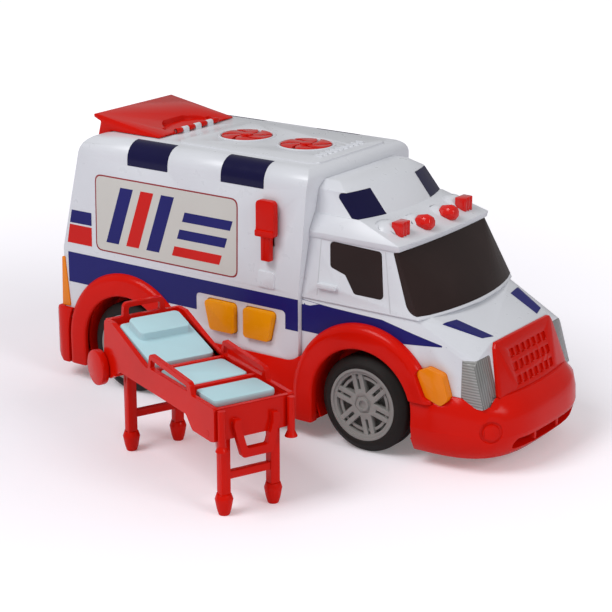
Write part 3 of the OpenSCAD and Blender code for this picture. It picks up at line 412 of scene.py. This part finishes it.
# %% A sticker on a wall
def push_onto(piece, face, wall):
    wrap = piece.modifiers.new("onto_wall", "SHRINKWRAP")
    wrap.target = wall
    wrap.wrap_method = "PROJECT"
    wrap.use_project_y = face != "top"
    wrap.use_project_z = face == "top"
    wrap.use_negative_direction = face != "right"
    wrap.use_positive_direction = face == "right"
    bpy.ops.object.modifier_apply(modifier=wrap.name)


def sticker(name, points, face, wall, finish, proud=0.00012, step=0.008):
    piece = flat_outline(name, points, face)
    cut_into_fields(piece, face, step)
    push_onto(piece, face, wall)
    film = piece.modifiers.new("film", "SOLIDIFY")
    film.thickness = 2 * proud
    film.offset = 0
    bpy.ops.object.modifier_apply(modifier=film.name)
    bpy.ops.object.mode_set(mode="EDIT")
    bpy.ops.mesh.select_all(action="SELECT")
    bpy.ops.mesh.normals_make_consistent(inside=False)
    bpy.ops.object.mode_set(mode="OBJECT")
    piece.data.materials.append(finish)
    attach(piece, "vehicle")
    print(name, "faces", len(piece.data.polygons))


print("sticker tools ready")

# %% [markdown]
# ## Band, stripes and panel
# A navy band runs along the box and tapers out on the cab. Behind it stands a small block of navy over red,
# and above it a pale panel in a thin dark red line. The panel carries plain slanted bars. The same outlines
# go on both sides of the car, but only the right one leaves room for the two buttons.

# %% Film finishes and outlines
navy_film = plastic("navy_film", (0.012, 0.012, 0.14), 0.3, 0.08, shine=0.2)
red_film = plastic("red_film", (0.6, 0.008, 0.005), 0.3, 0.06, shine=0.2)
wine_film = plastic("wine_film", (0.28, 0.012, 0.02), 0.32, 0.06)
pale_film = plastic("pale_film", (0.6, 0.585, 0.55), 0.4, 0.03)
# Grey film for the door grooves: painted shade, since the grooves themselves are not cut.
groove_shade_film = plastic("groove_shade_film", (0.56, 0.57, 0.6), 0.5, 0.06)
notch = soft_corners([(-47.5, 64.4), (-47.5, 75.3), (18.2, 75.3), (18.2, 64.4)], 3)[6:18]
band_plain = [(-150, 83.9), (-150, 64.4), (27.2, 64.4), (27.2, 83.6)]
band_notched = [(-150, 83.9), (-150, 64.4), (-47.5, 64.4), *notch, (18.2, 64.4), (27.2, 64.4), (27.2, 83.6)]
cab_band = [(27.9, 83.5), (27.9, 64.6), (43.9, 64.6), (103.3, 70.4), (125, 72.4), (83, 81.3), (50.5, 82.2)]
block_red = [(-150.2, 90), (-130, 90), (-130, 102), (-148.0, 102)]
block_navy = [(-147.8, 103.2), (-130, 103.2), (-130, 111.4), (-146.2, 111.4)]
panel = [(-126.5, 88.8), (-16.4, 88.8), (-16.4, 137), (-126.5, 137)]
panel_inner = [(-125.6, 89.7), (-17.3, 89.7), (-17.3, 136.1), (-125.6, 136.1)]


def slanted(x, width, low, high, lean):
    return [(x, low), (x + width, low), (x + width + lean, high), (x + lean, high)]


bars = [
    ("bar_a", slanted(-118, 10, 95, 131, 12), navy_film),
    ("bar_b", slanted(-102, 10, 95, 131, 12), red_film),
    ("bar_c", slanted(-86, 10, 95, 131, 12), navy_film),
    ("line_a", slanted(-66, 36, 95, 101, 2), red_film),
    ("line_b", slanted(-62, 36, 106, 112, 2), navy_film),
    ("line_c", slanted(-58, 36, 117, 123, 2), navy_film),
]
print("outlines ready")

# %% Stickers on both sides
box, cab = shells["cargo_box"], shells["cab_shell"]
for side in ("right", "left"):
    sticker("band_" + side, band_notched if side == "right" else band_plain, side, box, navy_film)
    sticker("cab_band_" + side, cab_band, side, cab, navy_film, step=0.005)
    sticker("block_red_" + side, block_red, side, box, red_film)
    sticker("block_navy_" + side, block_navy, side, box, navy_film)
    sticker("panel_line_" + side, soft_corners(panel, 5), side, box, wine_film, 0.00008)
    sticker("panel_" + side, soft_corners(panel_inner, 4.4), side, box, pale_film, 0.00013)
    for label, outline, film in bars:
        sticker(label + "_" + side, outline, side, box, film, 0.00018)

# %% [markdown]
# ## Door seams and bonnet stripes
# The doors don't open: the mould only hints at them with a faint groove. The groove is not cut here; a very
# thin grey film lies on the wall in its place, as painted shade of the groove. The two navy stripes on the
# bonnet are stickers like the band, but they are pushed down from above. The bonnet bends under them, so
# they are cut into smaller fields and stand a little prouder.

# %% Door seams and bonnet stripes
def strip(a, b, width):
    a, b = Vector(a), Vector(b)
    across = (b - a).normalized().orthogonal() * width / 2
    return [tuple(a - across), tuple(a + across), tuple(b + across), tuple(b - across)]


for side in ("right", "left"):
    sign = -1 if side == "right" else 1
    # The seam strips are grey film in place of a groove: painted shade.
    sticker("door_rear_" + side, strip((38.4, 84.6), (38.4, 120), 0.6), side, cab, groove_shade_film, 0.0001, 0.004)
    sticker("door_front_" + side, strip((88.6, 86), (82, 119.5), 0.6), side, cab, groove_shade_film, 0.0001, 0.004)
    stripe = [(118.6, sign * 30.9), (116.8, sign * 43), (137.1, sign * 33.9), (139.3, sign * 25.3)]
    sticker("bonnet_stripe_" + side, stripe, "top", cab, navy_film, 0.0003, 0.002)

# %% [markdown]
# ## Rings round the roof fans
# A thin white ring frames each fan on the roof. A torus is the right start: it is flattened so that it lies
# on the roof as a low bead.

# %% Fan rings
ring_r, bead_r, bead_flat = 0.0171, 0.0009, 0.7
roof_z = 0.1608
for name in ("roof_fan_rear", "roof_fan_front"):
    low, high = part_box(name)
    bpy.ops.object.select_all(action="DESELECT")
    bpy.ops.mesh.primitive_torus_add(
        location=((low.x + high.x) / 2, 0, roof_z), major_radius=ring_r, minor_radius=bead_r,
        major_segments=72, minor_segments=10)
    ring = bpy.context.active_object
    ring.name = "ring_of_" + name
    ring.scale.z = bead_flat
    bpy.ops.object.transform_apply(location=True, rotation=True, scale=True)
    bpy.ops.object.shade_smooth()
    ring.data.materials.append(finishes["white_shell"])
    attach(ring, "vehicle")
    print(ring.name, "faces", len(ring.data.polygons))

# %% [markdown]
# ## Floor, light and camera
# The toy stands on a plain pale floor under soft studio light. Far from the toy the floor glows a little to
# the camera, so that it reads as white. Closer to a set point by the toy it glows less, which paints a darker
# pool there: painted shadow laid over the real one. The floor's faint lilac tone shows only where the glow is
# low, as a painted tint of that shadow. A large area lamp stands high on the left of the camera, a smaller
# one shines on the front, and the world fills the shadows. The camera has a long lens. Its place and turn
# were solved from the edges of the box and wheels.

# %% Floor
floor_size = 40
# The glow falls off towards shade_centre: a painted shadow pool round the toy.
shade_centre = (-0.12, -0.03, 0)
shade_r, white_r = 0.15, 0.75
glow_near, glow_far = 0.13, 0.55
bpy.ops.object.select_all(action="DESELECT")
bpy.ops.mesh.primitive_plane_add(size=floor_size)
floor = bpy.context.active_object
floor.name = "floor"
paper, tree, shader, where = new_finish("floor_paper")
# The lilac tone is a painted tint for the shadow; far from the toy the glow hides it.
tone = two_tones(tree, cloud(tree, where, 2), (0.89, 0.865, 0.93), (0.91, 0.885, 0.95))
tree.links.new(tone, shader.inputs["Base Color"])
shader.inputs["Roughness"].default_value = 0.9
far = tree.nodes.new("ShaderNodeVectorMath")
far.operation = "DISTANCE"
far.inputs[1].default_value = shade_centre
tree.links.new(where, far.inputs[0])
# Less glow near the toy: painted shadow.
glow = spread(tree, far.outputs["Value"], glow_near, glow_far, shade_r, white_r)
path = tree.nodes.new("ShaderNodeLightPath")
lift = tree.nodes.new("ShaderNodeMath")
lift.operation = "MULTIPLY"
tree.links.new(path.outputs["Is Camera Ray"], lift.inputs[0])
tree.links.new(glow, lift.inputs[1])
tree.links.new(lift.outputs[0], shader.inputs["Emission Strength"])
shader.inputs["Emission Color"].default_value = (1, 1, 1, 1)
floor.data.materials.append(paper)
print("floor ready")

# %% Light
world = bpy.data.worlds.new("studio")
world.use_nodes = True
world.node_tree.nodes["Background"].inputs["Color"].default_value = (1, 1, 1, 1)
world.node_tree.nodes["Background"].inputs["Strength"].default_value = 0.4
bpy.context.scene.world = world


def soft_lamp(name, place, target, size, power):
    bpy.ops.object.light_add(type="AREA", location=place)
    lamp = bpy.context.active_object
    lamp.name = name
    lamp.data.size = size
    lamp.data.energy = power
    lamp.rotation_euler = (Vector(target) - Vector(place)).to_track_quat("-Z", "Y").to_euler()


middle_of_car = (0, 0, 0.08)
soft_lamp("key", (-0.5, -1.4, 1.9), middle_of_car, 1.1, 27)
soft_lamp("front", (1.9, -0.4, 1.2), middle_of_car, 0.8, 11)
print("lamps ready")

# %% Camera
camera_place = (0.62297, -0.89216, 0.40468)
turn, tilt = math.radians(35.203), math.radians(17.548)
right = Vector((math.cos(turn), math.sin(turn), 0))
back = Vector((math.sin(turn) * math.cos(tilt), -math.cos(turn) * math.cos(tilt), math.sin(tilt)))
up = back.cross(right)
pose = Matrix((right, up, back)).transposed().to_4x4()
pose.translation = camera_place
camera_data = bpy.data.cameras.new("camera")
camera_data.lens = 109.74
camera_data.sensor_width = 36
camera = bpy.data.objects.new("camera", camera_data)
bpy.context.scene.collection.objects.link(camera)
camera.matrix_world = pose
bpy.context.scene.camera = camera
bpy.context.scene.view_settings.view_transform = "Standard"
print("camera ready")
